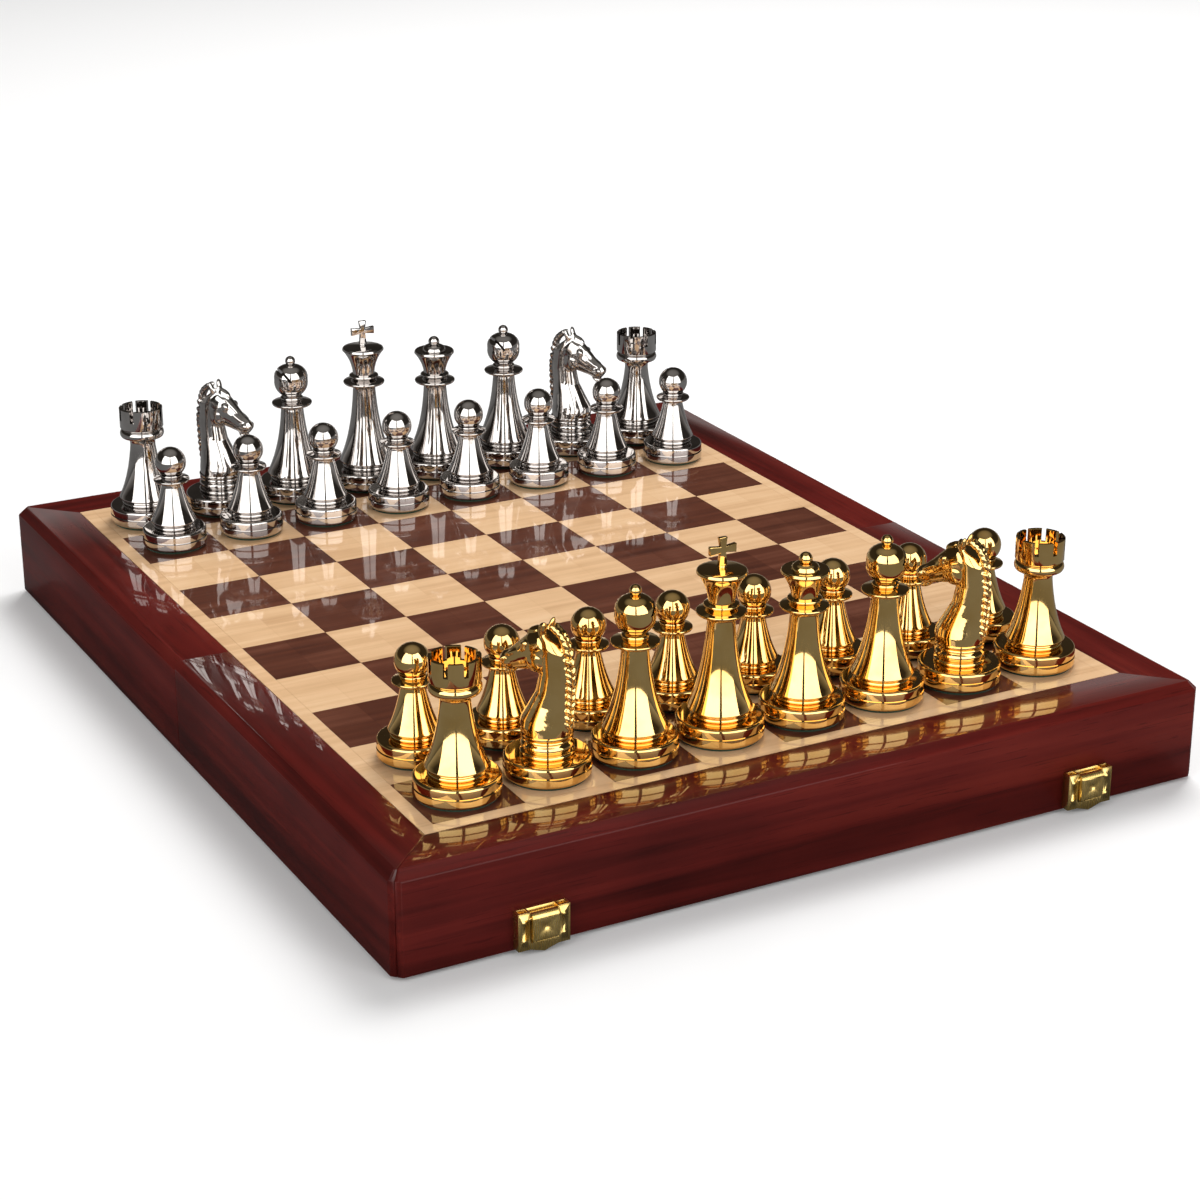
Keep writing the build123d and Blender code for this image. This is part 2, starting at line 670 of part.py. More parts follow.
def build_nodes():
    nodes = case_half("near", "front_rail", near_foot_places, far_foot_places, True)
    far = case_half("far", "back_rail", far_foot_places, near_foot_places, False)
    # The rank count is even, so mirrored in the fold the squares change colour.
    far["far_dark_squares"], far["far_light_squares"] = far["far_light_squares"], far["far_dark_squares"]
    nodes.update({name: [to_far(solid) for solid in solids] for name, solids in far.items()})
    nodes["near_hinge_leaves"] += [hinge_pin(x) for x in hinge_centres]
    nodes["near_latch_plates"] = [latch_plate_solid(x) for x in latch_centres]
    nodes["far_strap_plates"] = [strap_plate(x) for x in latch_centres]
    for name, x in zip(("left", "right"), latch_centres):
        nodes[f"{name}_latch_lever"] = [latch_lever(x)]
        nodes[f"{name}_latch_tongue"] = [latch_tongue(x)]
    nodes.update(all_pieces())
    return nodes


os.makedirs("parts", exist_ok=True)
for node, solids in build_nodes().items():
    export_step(group(solids), f"parts/{node}.step")
    print(node, len(solids))
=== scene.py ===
import bmesh
import bpy
import math
from mathutils import Matrix, Vector


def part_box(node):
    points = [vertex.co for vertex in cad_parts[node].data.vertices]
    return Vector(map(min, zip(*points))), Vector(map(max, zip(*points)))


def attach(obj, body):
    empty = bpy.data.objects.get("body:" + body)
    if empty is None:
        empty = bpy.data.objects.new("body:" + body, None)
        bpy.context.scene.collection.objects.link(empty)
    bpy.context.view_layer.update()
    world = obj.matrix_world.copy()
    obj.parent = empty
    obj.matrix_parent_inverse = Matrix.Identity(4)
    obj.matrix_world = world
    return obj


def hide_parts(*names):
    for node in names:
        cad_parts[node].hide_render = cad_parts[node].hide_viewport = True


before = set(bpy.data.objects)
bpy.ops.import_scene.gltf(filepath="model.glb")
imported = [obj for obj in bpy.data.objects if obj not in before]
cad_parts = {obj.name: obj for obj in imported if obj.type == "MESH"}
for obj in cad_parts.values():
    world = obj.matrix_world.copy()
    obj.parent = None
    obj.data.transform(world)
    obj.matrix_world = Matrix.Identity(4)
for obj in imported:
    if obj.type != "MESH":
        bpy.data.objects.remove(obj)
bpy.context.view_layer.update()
mm = 0.001
print("frame loaded")

# Shader helpers


# A socket that adds Math nodes when it is used in an expression
class Val:
    def __init__(self, tree, socket):
        self.tree = tree
        self.socket = socket

    def math(self, operation, other=None, flip=False):
        node = self.tree.nodes.new("ShaderNodeMath")
        node.operation = operation
        values = [self] if other is None else [other, self] if flip else [self, other]
        for place, value in zip(node.inputs, values):
            if isinstance(value, Val):
                self.tree.links.new(value.socket, place)
            else:
                place.default_value = value
        return Val(self.tree, node.outputs[0])

    def __add__(self, other):
        return self.math("ADD", other)

    def __radd__(self, other):
        return self.math("ADD", other, True)

    def __sub__(self, other):
        return self.math("SUBTRACT", other)

    def __rsub__(self, other):
        return self.math("SUBTRACT", other, True)

    def __mul__(self, other):
        return self.math("MULTIPLY", other)

    def __rmul__(self, other):
        return self.math("MULTIPLY", other, True)

    def __truediv__(self, other):
        return self.math("DIVIDE", other)

    def __lt__(self, other):
        return self.math("LESS_THAN", other)

    def __gt__(self, other):
        return self.math("GREATER_THAN", other)


# A node material: node() makes one node, its settings first, then its inputs
class Finish:
    def __init__(self, name):
        self.material = bpy.data.materials.new(name)
        self.material.use_nodes = True
        self.tree = self.material.node_tree
        self.tree.nodes.clear()

    def node(self, kind, settings=None, inputs=None, output=0):
        node = self.tree.nodes.new("ShaderNode" + kind)
        for key, value in (settings or {}).items():
            if key == "stops":
                ramp = node.color_ramp
                while len(ramp.elements) < len(value):
                    ramp.elements.new(0.5)
                for element, (place, colour) in zip(ramp.elements, value):
                    element.position = place
                    element.color = (*colour, 1)
            else:
                setattr(node, key, value)
        for key, value in (inputs or {}).items():
            if isinstance(value, Val):
                self.tree.links.new(value.socket, node.inputs[key])
            else:
                node.inputs[key].default_value = value
        return Val(self.tree, node.outputs[output]) if node.outputs else None

    def place(self, scale):
        where = self.node("TexCoord", output=3)
        return self.node("Mapping", {"vector_type": "POINT"}, {"Vector": where, "Scale": scale})

    # The scale is one number, or one for each of X, Y and Z
    def noise(self, scale, detail=3.0, distortion=0.0):
        scales = scale if isinstance(scale, tuple) else (scale,) * 3
        inputs = {"Vector": self.place(scales), "Scale": 1.0, "Detail": detail, "Distortion": distortion}
        return self.node("TexNoise", {"noise_dimensions": "3D"}, inputs)

    def ramp(self, value, stops):
        return self.node("ValToRGB", {"stops": stops}, {"Fac": value})

    def mix(self, factor, first, second, blend="MIX"):
        node = self.tree.nodes.new("ShaderNodeMix")
        node.data_type = "RGBA"
        node.blend_type = blend
        for index, value in ((0, factor), (6, first), (7, second)):
            if isinstance(value, Val):
                self.tree.links.new(value.socket, node.inputs[index])
            else:
                node.inputs[index].default_value = value if index == 0 else (*value, 1)
        return Val(self.tree, node.outputs[2])

    # A value that goes from upright on the case's sides to flat at its top
    def upward(self, upright, flat):
        level = (xyz(self)[2] - wood["topFrom"]) / wood["topRamp"]
        level = level.math("MAXIMUM", 0.0).math("MINIMUM", 1.0)
        return level * (flat - upright) + upright

    def bump(self, height, distance, strength=1.0, under=None):
        inputs = {"Height": height, "Distance": distance, "Strength": strength}
        if under is not None:
            inputs["Normal"] = under
        return self.node("Bump", {}, inputs)

    def surface(self, inputs):
        shader = self.node("BsdfPrincipled", {}, inputs)
        self.node("OutputMaterial", {}, {"Surface": shader})
        return self.material


def xyz(finish):
    where = finish.node("TexCoord", output=3)
    split = finish.node("SeparateXYZ", {}, {"Vector": where}).socket.node
    return [Val(finish.tree, socket) for socket in split.outputs]


# Finishes

wood = {
    "mahoganyDark": (0.036, 0.0036, 0.003),
    "mahogany": (0.098, 0.0085, 0.0065),
    "mahoganyLight": (0.16, 0.017, 0.011),
    "walnutDark": (0.058, 0.0165, 0.0095),
    "walnut": (0.108, 0.032, 0.017),
    "walnutLight": (0.17, 0.06, 0.035),
    "mapleDark": (0.62, 0.37, 0.19),
    "maple": (0.77, 0.49, 0.27),
    "mapleLight": (0.86, 0.585, 0.345),
    "streaksAcross": 150.0,
    "poresAcross": 1500.0,
    "alongShare": 0.035,
    "coat": 0.9,
    "coatUpright": 0.1,
    "topFrom": 0.0325,
    "topRamp": 0.0025,
    "sheen": 0.08,
    "coatRoughness": 0.035,
    "ior": 1.45,
    "coatIor": 1.42,
    "roughness": 0.34,
    "cloudScale": 14.0,
    "rippleScale": 60.0,
    "rippleDepth": 0.00012,
    "poreShare": 0.36,
    "poreDepth": 0.00003,
    "stops": (0.3, 0.52, 0.74),
}
veneer = {
    "streaksAcross": 260.0,
    "poresAcross": 2200.0,
    "figureScale": (30, 45, 30),
    "ownTone": 0.14,
    "poreShare": 0.37,
    "rippleScale": 70.0,
    "rippleDepth": 0.0001,
}


def grainScale(along, across):
    share = wood["alongShare"] * across
    return (share, across, across) if along == "x" else (across, share, across)


def toneRamp(f, kind, tone):
    shades = [wood[kind + "Dark"], wood[kind], wood[kind + "Light"]]
    return f.ramp(tone, list(zip(wood["stops"], shades)))


# Lacquered wood: one lacquer for the whole set, as heavy as coat says
def lacquered(f, colour, roughness, coat, normal):
    return f.surface({
        "Base Color": colour,
        "Roughness": roughness,
        "IOR": wood["ior"],
        "Specular IOR Level": wood["sheen"],
        "Coat Weight": coat,
        "Coat Roughness": wood["coatRoughness"],
        "Coat IOR": wood["coatIor"],
        "Normal": normal,
    })


def mahoganyFinish(name, along):
    f = Finish(name)
    streaks = f.noise(grainScale(along, wood["streaksAcross"]), detail=5.0, distortion=0.6)
    cloud = f.noise(wood["cloudScale"], detail=2.0)
    pores = f.noise(grainScale(along, wood["poresAcross"]), detail=2.0)
    colour = toneRamp(f, "mahogany", streaks * 0.75 + cloud * 0.45 - 0.1)
    colour = f.mix((pores < wood["poreShare"]) * 0.5, colour, wood["mahoganyDark"])
    ripple = f.bump(f.noise(wood["rippleScale"], detail=1.0), wood["rippleDepth"], 0.5)
    grain = f.bump(pores, wood["poreDepth"], 0.35, ripple)
    coat = f.upward(wood["coatUpright"], wood["coat"])
    return lacquered(f, colour, streaks * 0.15 + wood["roughness"], coat, grain)


# Veneer squares: grain along X, a tone of its own for each quarter and hairlines between the quarters
def squareFinish(name, kind):
    f = Finish(name)
    x, y, z = xyz(f)
    half = board["square"] / 2
    u = (x + board["halfWidth"]) / half
    v = (y + board["halfWidth"] * 2) / half
    cell = f.node("CombineXYZ", {}, {"X": u.math("FLOOR"), "Y": v.math("FLOOR")})
    own = f.node("TexWhiteNoise", {"noise_dimensions": "3D"}, {"Vector": cell})
    streaks = f.noise(grainScale("x", veneer["streaksAcross"]), detail=5.0, distortion=0.4)
    figure = f.noise(veneer["figureScale"], detail=3.0, distortion=0.8)
    pores = f.noise(grainScale("x", veneer["poresAcross"]), detail=2.0)
    colour = toneRamp(f, kind, streaks * 0.6 + figure * 0.3 + own * veneer["ownTone"])
    colour = f.mix((pores < veneer["poreShare"]) * 0.3, colour, wood[kind + "Dark"])
    nearLine = [(w.math("FRACT") - 0.5).math("ABSOLUTE") > 0.5 - board["hairline"] / half for w in (u, v)]
    line = nearLine[0].math("MAXIMUM", nearLine[1])
    colour = f.mix(line * 0.4, colour, wood[kind + "Dark"])
    ripple = f.bump(f.noise(veneer["rippleScale"], detail=1.0), veneer["rippleDepth"], 0.4)
    return lacquered(f, colour, streaks * 0.12 + wood["roughness"], wood["coat"], ripple)


metal = {
    "gold": (0.87, 0.60, 0.24),
    "goldDeep": (0.74, 0.46, 0.14),
    "silver": (0.60, 0.575, 0.56),
    "silverDeep": (0.42, 0.395, 0.38),
    "polish": 0.045,
    "brass": (0.83, 0.60, 0.22),
    "brassDeep": (0.66, 0.44, 0.13),
    "cloudScale": 90.0,
    "fineScale": 900.0,
    "waveScale": 160.0,
    "waveDepth": 0.00005,
    "brushedScale": (2600, 120, 120),
    "brassCloudScale": 220.0,
    "brassRoughness": 0.2,
    "scratchDepth": 0.00002,
}


def platedFinish(name, kind):
    f = Finish(name)
    cloud = f.noise(metal["cloudScale"])
    fine = f.noise(metal["fineScale"], detail=2.0)
    colour = f.ramp(cloud, [(0.25, metal[kind + "Deep"]), (0.6, metal[kind])])
    rough = cloud * 0.03 + (fine > 0.68) * 0.03 + metal["polish"]
    wave = f.bump(f.noise(metal["waveScale"], detail=1.0), metal["waveDepth"], 0.35)
    return f.surface({"Base Color": colour, "Metallic": 1.0, "Roughness": rough, "Normal": wave})


def brassFinish():
    f = Finish("satinBrass")
    brushed = f.noise(metal["brushedScale"], detail=2.0)
    cloud = f.noise(metal["brassCloudScale"])
    colour = f.ramp(cloud, [(0.3, metal["brassDeep"]), (0.6, metal["brass"])])
    rough = brushed * 0.14 + metal["brassRoughness"]
    scratch = f.bump(brushed, metal["scratchDepth"], 0.5)
    return f.surface({"Base Color": colour, "Metallic": 1.0, "Roughness": rough, "Normal": scratch})


# Felt pads, the velvet of the storage, plywood and the rubber feet
soft = {
    "liningDark": (0.012, 0.012, 0.013),
    "lining": (0.05, 0.05, 0.052),
    "liningNap": 2400,
    "feltDark": (0.01, 0.03, 0.016),
    "felt": (0.03, 0.075, 0.04),
    "feltNap": 3000,
    "cloudScale": 40.0,
    "napDepth": 0.0003,
    "roughness": 0.95,
    "sheen": 0.5,
    "sheenRoughness": 0.4,
}
plain = {
    "plyDark": (0.36, 0.22, 0.11),
    "ply": (0.62, 0.43, 0.25),
    "plyStreaks": 200.0,
    "pliesPerMetre": 1250.0,
    "plyDepth": 0.0002,
    "rubberDark": (0.016, 0.016, 0.016),
    "rubber": (0.04, 0.04, 0.04),
    "rubberGrain": 1500.0,
    "rubberDepth": 0.0001,
    "roughness": 0.7,
}


def feltFinish(name, kind):
    f = Finish(name)
    fibres = f.noise(soft[kind + "Nap"], detail=4.0)
    cloud = f.noise(soft["cloudScale"], detail=2.0)
    colour = f.ramp(fibres * 0.6 + cloud * 0.4, [(0.35, soft[kind + "Dark"]), (0.65, soft[kind])])
    return f.surface({
        "Base Color": colour,
        "Roughness": soft["roughness"],
        "Sheen Weight": soft["sheen"],
        "Sheen Roughness": soft["sheenRoughness"],
        "Normal": f.bump(fibres, soft["napDepth"], 0.8),
    })


def plyFinish():
    f = Finish("plywood")
    streaks = f.noise(grainScale("x", plain["plyStreaks"]), detail=5.0)
    plies = ((xyz(f)[2] * plain["pliesPerMetre"]).math("FRACT") < 0.5) * 0.15
    colour = f.ramp(streaks + plies, [(0.3, plain["plyDark"]), (0.7, plain["ply"])])
    grain = f.bump(streaks, plain["plyDepth"], 0.5)
    return f.surface({"Base Color": colour, "Roughness": plain["roughness"], "Normal": grain})


def rubberFinish():
    f = Finish("blackRubber")
    grain = f.noise(plain["rubberGrain"])
    colour = f.ramp(grain, [(0.3, plain["rubberDark"]), (0.7, plain["rubber"])])
    pits = f.bump(grain, plain["rubberDepth"], 0.6)
    return f.surface({"Base Color": colour, "Roughness": plain["roughness"], "Normal": pits})


board = {
    "halfWidth": 0.125,
    "square": 0.03125,
    "hairline": 0.00012,
    "top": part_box("near_dark_squares")[1].z,
}

finishes = {
    "mahoganyX": mahoganyFinish("mahoganyAcross", "x"),
    "mahoganyY": mahoganyFinish("mahoganyAlong", "y"),
    "walnut": squareFinish("walnutSquares", "walnut"),
    "maple": squareFinish("mapleSquares", "maple"),
    "plywood": plyFinish(),
    "lining": feltFinish("velvetLining", "lining"),
    "felt": feltFinish("baseFelt", "felt"),
    "rubber": rubberFinish(),
    "brass": brassFinish(),
    "gold": platedFinish("goldPlate", "gold"),
    "silver": platedFinish("nickelPlate", "silver"),
}
print("finishes made")


# Mesh helpers

sharpAngle = math.radians(38)


# Turn a bmesh into a finished piece that rides on a body and stands for a CAD node
def keep(name, bm, materials, node, body):
    mesh = bpy.data.meshes.new(name)
    bm.to_mesh(mesh)
    bm.free()
    for material in materials:
        mesh.materials.append(material)
    mesh.shade_smooth()
    mesh.set_sharp_from_angle(angle=sharpAngle)
    piece = bpy.data.objects.new(name, mesh)
    bpy.context.scene.collection.objects.link(piece)
    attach(piece, body)
    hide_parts(node)


def dress(node, material):
    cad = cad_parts[node]
    cad.data.materials.clear()
    cad.data.materials.append(material)


# A copy of a CAD node with its long sharp edges eased
def eased(node, body, material, width, least, wanted=None):
    bm = bmesh.new()
    bm.from_mesh(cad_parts[node].data)
    bmesh.ops.remove_doubles(bm, verts=bm.verts, dist=case["weld"])
    bmesh.ops.dissolve_limit(bm, angle_limit=case["flatWithin"], verts=bm.verts, edges=bm.edges)
    edges = [e for e in bm.edges if len(e.link_faces) == 2 and e.calc_face_angle() > case["easedFrom"]
             and e.calc_length() > least and (wanted is None or wanted((e.verts[0].co + e.verts[1].co) / 2))]
    bmesh.ops.bevel(bm, geom=edges, offset=width, affect="EDGES", segments=2, profile=0.5, material=-1,
                    clamp_overlap=True)
    bmesh.ops.triangulate(bm, faces=[f for f in bm.faces if len(f.verts) > 4])
    name = "".join(w.capitalize() if i else w for i, w in enumerate(node.split("_"))) + "Eased"
    keep(name, bm, [material], node, body)


# Case

case = {
    "easeWidth": 0.0007,
    "shortestEased": 0.008,
    "fittingEase": 0.00014,
    "fittingShortest": 0.0012,
    "underside": 0.0003,
    "weld": 1e-6,
    "flatWithin": 0.01,
    "easedFrom": math.radians(20),
}
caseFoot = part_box("near_side_rails")[0].z


# The edges round the underside stay sharp
def outerEdge(middle):
    return middle.z > caseFoot + case["underside"]


for node, along in (("near_front_rail", "X"), ("far_back_rail", "X"), ("near_side_rails", "Y"),
                    ("far_side_rails", "Y")):
    body = "near_half" if node.startswith("near") else "far_half"
    eased(node, body, finishes["mahogany" + along], case["easeWidth"], case["shortestEased"],
          outerEdge)
for half in ("near", "far"):
    dress(half + "_hinge_rail", finishes["mahoganyX"])
    dress(half + "_deck", finishes["plywood"])
    dress(half + "_dark_squares", finishes["walnut"])
    dress(half + "_light_squares", finishes["maple"])
    dress(half + "_stringing", finishes["maple"])
    dress(half + "_storage_insert", finishes["lining"])
    dress(half + "_feet", finishes["rubber"])
    dress(half + "_hinge_leaves", finishes["brass"])
    dress(half + "_hinge_screws", finishes["brass"])
for node, body in (("near_latch_plates", "near_half"), ("far_strap_plates", "far_half"),
                   ("left_latch_lever", "left_latch_lever"), ("right_latch_lever", "right_latch_lever"),
                   ("left_latch_tongue", "left_latch_tongue"), ("right_latch_tongue", "right_latch_tongue")):
    eased(node, body, finishes["brass"], case["fittingEase"], case["fittingShortest"])
print("case dressed")


# Chess pieces: widths in millimetres, and heights (Z) in millimetres above the playing surface.
# The draw is how far a bell's side is drawn out from the neck, as a share of the way to the lip.

stand = {"felt": 0.8, "feltInset": 1.2, "height": 7.5, "groove": 4.1, "grooveDepth": 0.35, "grooveHalf": 0.3,
         "edge": 1.0, "edgeBow": 0.3, "stepIn": 0.1, "ring": 1.6, "ringShare": 0.86, "ringGap": 0.2,
         "ringBow": 0.6, "underLip": 1.5, "lip": 0.8, "lipTaper": 0.2, "lipBow": 0.15, "bellRise": 0.37}
collar = {"reach": 1.2, "slopeIn": 0.5, "slopeZ": 0.9, "band": 0.3, "bandBow": 0.1, "topBow": 0.15}
crown = {"collarUp": 3.0, "footLow": 1.8, "footHigh": 2.8, "footBow": 0.35, "stemIn": 0.2, "stemUp": 3.2,
         "flareDown": 4.5, "rimIn": 0.2, "rimLow": 0.5, "rimHigh": 0.2, "rimBow": 0.2, "edgeIn": 0.5,
         "edgeHigh": 0.9, "edgeBow": 0.15}
pawn = {"base": 24.4, "lip": 16.8, "lipZ": 10.5, "neck": 7.8, "neckZ": 24.6, "draw": 0.4, "collar": 13.6,
        "collarUp": 2.0, "throatOut": 0.3, "throatUp": 2.0, "throatBow": 0.3, "chinIn": 0.4, "head": 11.7,
        "height": 39.0}
rook = {"base": 28.0, "lip": 20.2, "lipZ": 10.7, "neck": 9.7, "neckZ": 31.0, "draw": 0.27, "stem": 1.4,
        "flare": 16.7, "flareIn": 0.4, "flareDown": 3.4, "pullOut": 0.3, "pullDown": 4.2, "ringIn": 0.3,
        "ringDown": 0.8, "ringBow": 0.45, "gapIn": 0.9, "gapDown": 0.3, "turret": 16.6, "turretZ": 38.2,
        "footUp": 0.5, "footBow": 0.1, "wall": 1.3, "floorUp": 1.5, "floorMiddle": 3.2, "slots": 8,
        "slotWidth": 1.5, "slotDepth": 4.6, "edge": 0.15, "height": 46.4}
bishop = {"base": 28.3, "lip": 21.2, "lipZ": 10.6, "neck": 8.8, "neckZ": 36.6, "draw": 0.2, "collar": 15.8,
          "collarUp": 2.4, "collarIn": 0.4, "ringIn": 0.2, "ringUp": 2.4, "ringBow": 0.4, "throatIn": 1.2,
          "throatUp": 2.9, "head": 13.2, "headRise": 9.3, "lowerBow": 1.2, "upperBow": 2.0, "ball": 4.0,
          "ballFoot": 0.6, "slit": 0.9, "slitShare": 0.9, "slitAngle": 32.0, "height": 57.8}
queen = {"base": 28.6, "lip": 21.0, "lipZ": 10.6, "neck": 9.2, "neckZ": 36.3, "draw": 0.18, "collar": 16.2,
         "crownFoot": 10.8, "crown": 15.9, "crownZ": 50.9, "dome": 9.4, "domeLedge": 1.6, "ledgeUp": 0.6,
         "domeUp": 0.9, "domeBow": 1.1, "ball": 4.5, "ballFoot": 0.6, "height": 57.4}
king = {"base": 29.2, "lip": 21.2, "lipZ": 10.8, "neck": 9.0, "neckZ": 40.2, "draw": 0.18, "collar": 16.4,
        "crownFoot": 11.0, "crown": 16.3, "crownZ": 56.4, "ledgeIn": 1.8, "ledgeUp": 1.2, "knob": 4.3,
        "knobFootIn": 0.4, "knobFootUp": 1.6, "knobTopIn": 0.6, "knobBow": 0.6, "sunk": 0.8,
        "crossWidth": 9.6, "crossHeight": 9.8, "crossPlate": 1.5, "crossArm": 3.0, "crossMiddle": 0.58,
        "crossEase": 0.16, "height": 68.0}
knight = {"base": 28.2, "barrel": 17.4, "barrelZ": 12.2, "ring": 16.6, "ringZ": 15.0, "headLean": 62.0,
          "height": 52.4, "turn": 30.0, "voxel": 0.34, "plaits": 17, "plait": (0.75, 1.25, 1.9),
          "plaitAside": 0.85, "plaitTwist": 32.0, "ovalPoints": 28, "smoothing": 0.5, "smoothSteps": 3}
turning = {"steps": 80, "arcPoints": 7, "curvePoints": 14, "weld": 1e-4, "ballSplit": math.radians(20)}


# Points are (radius, height). An outline's stations are a point, a point with an arc's bow, or a point with
# the pull of a curve.

def arcTo(here, there, bow):
    chord = Vector((there[0] - here[0], there[1] - here[1]))
    length = chord.length
    out = Vector((chord.y, -chord.x)) / length
    radius = (length * length / 4 + bow * bow) / (2 * bow)
    centre = (Vector(here) + Vector(there)) / 2 + out * (bow - radius)
    start = math.atan2(here[1] - centre.y, here[0] - centre.x)
    sweep = math.atan2(there[1] - centre.y, there[0] - centre.x) - start
    sweep = (sweep + math.pi) % (2 * math.pi) - math.pi
    points = []
    for i in range(1, turning["arcPoints"] + 1):
        angle = start + sweep * i / turning["arcPoints"]
        points.append((centre.x + abs(radius) * math.cos(angle), centre.y + abs(radius) * math.sin(angle)))
    return points


def curveTo(here, there, pull):
    points = []
    for i in range(1, turning["curvePoints"] + 1):
        t = i / turning["curvePoints"]
        points.append(tuple(here[k] * (1 - t) ** 2 + 2 * pull[k] * t * (1 - t) + there[k] * t * t
                            for k in (0, 1)))
    return points


def outlineOf(stations):
    here = (0, stations[0][1])
    points = [here]
    for station in stations:
        there = station[:2]
        if len(station) == 3:
            points += arcTo(here, there, station[2])
        elif len(station) == 4:
            points += curveTo(here, there, station[2:])
        else:
            points.append(there)
        here = there
    if here[0] > 0:
        points.append((0, here[1]))
    return points


def turned(stations):
    bm = bmesh.new()
    verts = [bm.verts.new((x, 0, z)) for x, z in outlineOf(stations)]
    edges = [bm.edges.new(pair) for pair in zip(verts, verts[1:])]
    bmesh.ops.spin(bm, geom=verts + edges, cent=(0, 0, 0), axis=(0, 0, 1), angle=2 * math.pi,
                   steps=turning["steps"], use_merge=True)
    bmesh.ops.remove_doubles(bm, verts=bm.verts, dist=turning["weld"])
    bmesh.ops.recalc_face_normals(bm, faces=bm.faces)
    return bm


def baseStations(size):
    low, upper = size["base"] / 2, size["base"] / 2 - stand["stepIn"]
    edge, groove, half = stand["edge"], stand["groove"], stand["grooveHalf"]
    bow = edge * stand["edgeBow"]
    return [(low - edge, stand["felt"]), (low, stand["felt"] + edge, bow), (low, groove - half),
            (low - stand["grooveDepth"], groove), (upper, groove + half), (upper, stand["height"] - edge),
            (upper - edge, stand["height"], bow)]


def bellStations(size):
    lip, lipZ, neck, neckZ = size["lip"] / 2, size["lipZ"], size["neck"] / 2, size["neckZ"]
    ring, low = lip * stand["ringShare"], stand["height"]
    return [(ring, low + stand["ringGap"]), (ring, low + stand["ring"], stand["ringBow"]),
            (lip - stand["underLip"], low + stand["ring"] + stand["ringGap"]),
            (lip - stand["lipTaper"], lipZ - stand["lip"]), (lip, lipZ, stand["lipBow"]),
            (neck, neckZ, neck + size["draw"] * (lip - neck), lipZ + stand["bellRise"] * (neckZ - lipZ))]


def collarStations(radius, z, foot):
    band, reach = collar["band"], collar["reach"]
    return [(radius - collar["slopeIn"], z - collar["slopeZ"], foot, z - reach),
            (radius, z - band, collar["bandBow"]), (radius - band, z + band, collar["topBow"]),
            (foot, z + reach)]


def ballStations(radius, z, foot, bow=0.0):
    low = z - math.sqrt(radius * radius - foot * foot)
    side = (radius * math.cos(turning["ballSplit"]), z + radius * math.sin(turning["ballSplit"]))
    reach = math.dist(side, (foot, low))
    rest = math.dist(side, (0, z + radius))
    first, second = (radius - math.sqrt(radius ** 2 - (c / 2) ** 2) for c in (reach, rest))
    start = (foot, low, bow) if bow else (foot, low)
    return [start, (side[0], side[1], first), (0, z + radius, second)]


def crownStations(size):
    neck, foot, rimR, rimZ = size["neck"] / 2, size["crownFoot"] / 2, size["crown"] / 2, size["crownZ"]
    collarZ = size["neckZ"] + crown["collarUp"]
    pull = (neck + crown["rimIn"], rimZ - crown["flareDown"])
    return (collarStations(size["collar"] / 2, collarZ, neck)
            + [(foot, collarZ + crown["footLow"]), (foot, collarZ + crown["footHigh"], crown["footBow"]),
               (neck - crown["stemIn"], collarZ + crown["stemUp"]),
               (rimR - crown["rimIn"], rimZ - crown["rimLow"], *pull),
               (rimR, rimZ + crown["rimHigh"], crown["rimBow"]),
               (rimR - crown["edgeIn"], rimZ + crown["edgeHigh"], crown["edgeBow"])])


# Subtract closed bmeshes from a bmesh with the exact boolean
def cutWith(bm, cutters):
    whole = bpy.data.objects.new("whole", bpy.data.meshes.new("whole"))
    bm.to_mesh(whole.data)
    bm.free()
    bpy.context.scene.collection.objects.link(whole)
    tools = []
    for cutter in cutters:
        tool = bpy.data.objects.new("tool", bpy.data.meshes.new("tool"))
        cutter.to_mesh(tool.data)
        cutter.free()
        bpy.context.scene.collection.objects.link(tool)
        tools.append(tool)
        modifier = whole.modifiers.new("cut", "BOOLEAN")
        modifier.operation = "DIFFERENCE"
        modifier.solver = "EXACT"
        modifier.object = tool
    result = bmesh.new()
    result.from_mesh(whole.evaluated_get(bpy.context.evaluated_depsgraph_get()).data)
    for gone in [whole] + tools:
        bpy.data.objects.remove(gone)
    return result


def boxOf(sizeXYZ, matrix):
    bm = bmesh.new()
    bmesh.ops.create_cube(bm, size=1.0, matrix=matrix @ Matrix.Diagonal((*sizeXYZ, 1)))
    return bm


# Add one bmesh to another
def merge(target, source):
    mesh = bpy.data.meshes.new("part")
    source.to_mesh(mesh)
    source.free()
    target.from_mesh(mesh)
    bpy.data.meshes.remove(mesh)


def pawnForm():
    head, neck, collarZ = pawn["head"] / 2, pawn["neck"] / 2, pawn["neckZ"] + pawn["collarUp"]
    return turned(baseStations(pawn) + bellStations(pawn)
                  + collarStations(pawn["collar"] / 2, collarZ, neck)
                  + [(neck + pawn["throatOut"], collarZ + pawn["throatUp"], pawn["throatBow"])]
                  + ballStations(head, pawn["height"] - head, neck - pawn["chinIn"]))


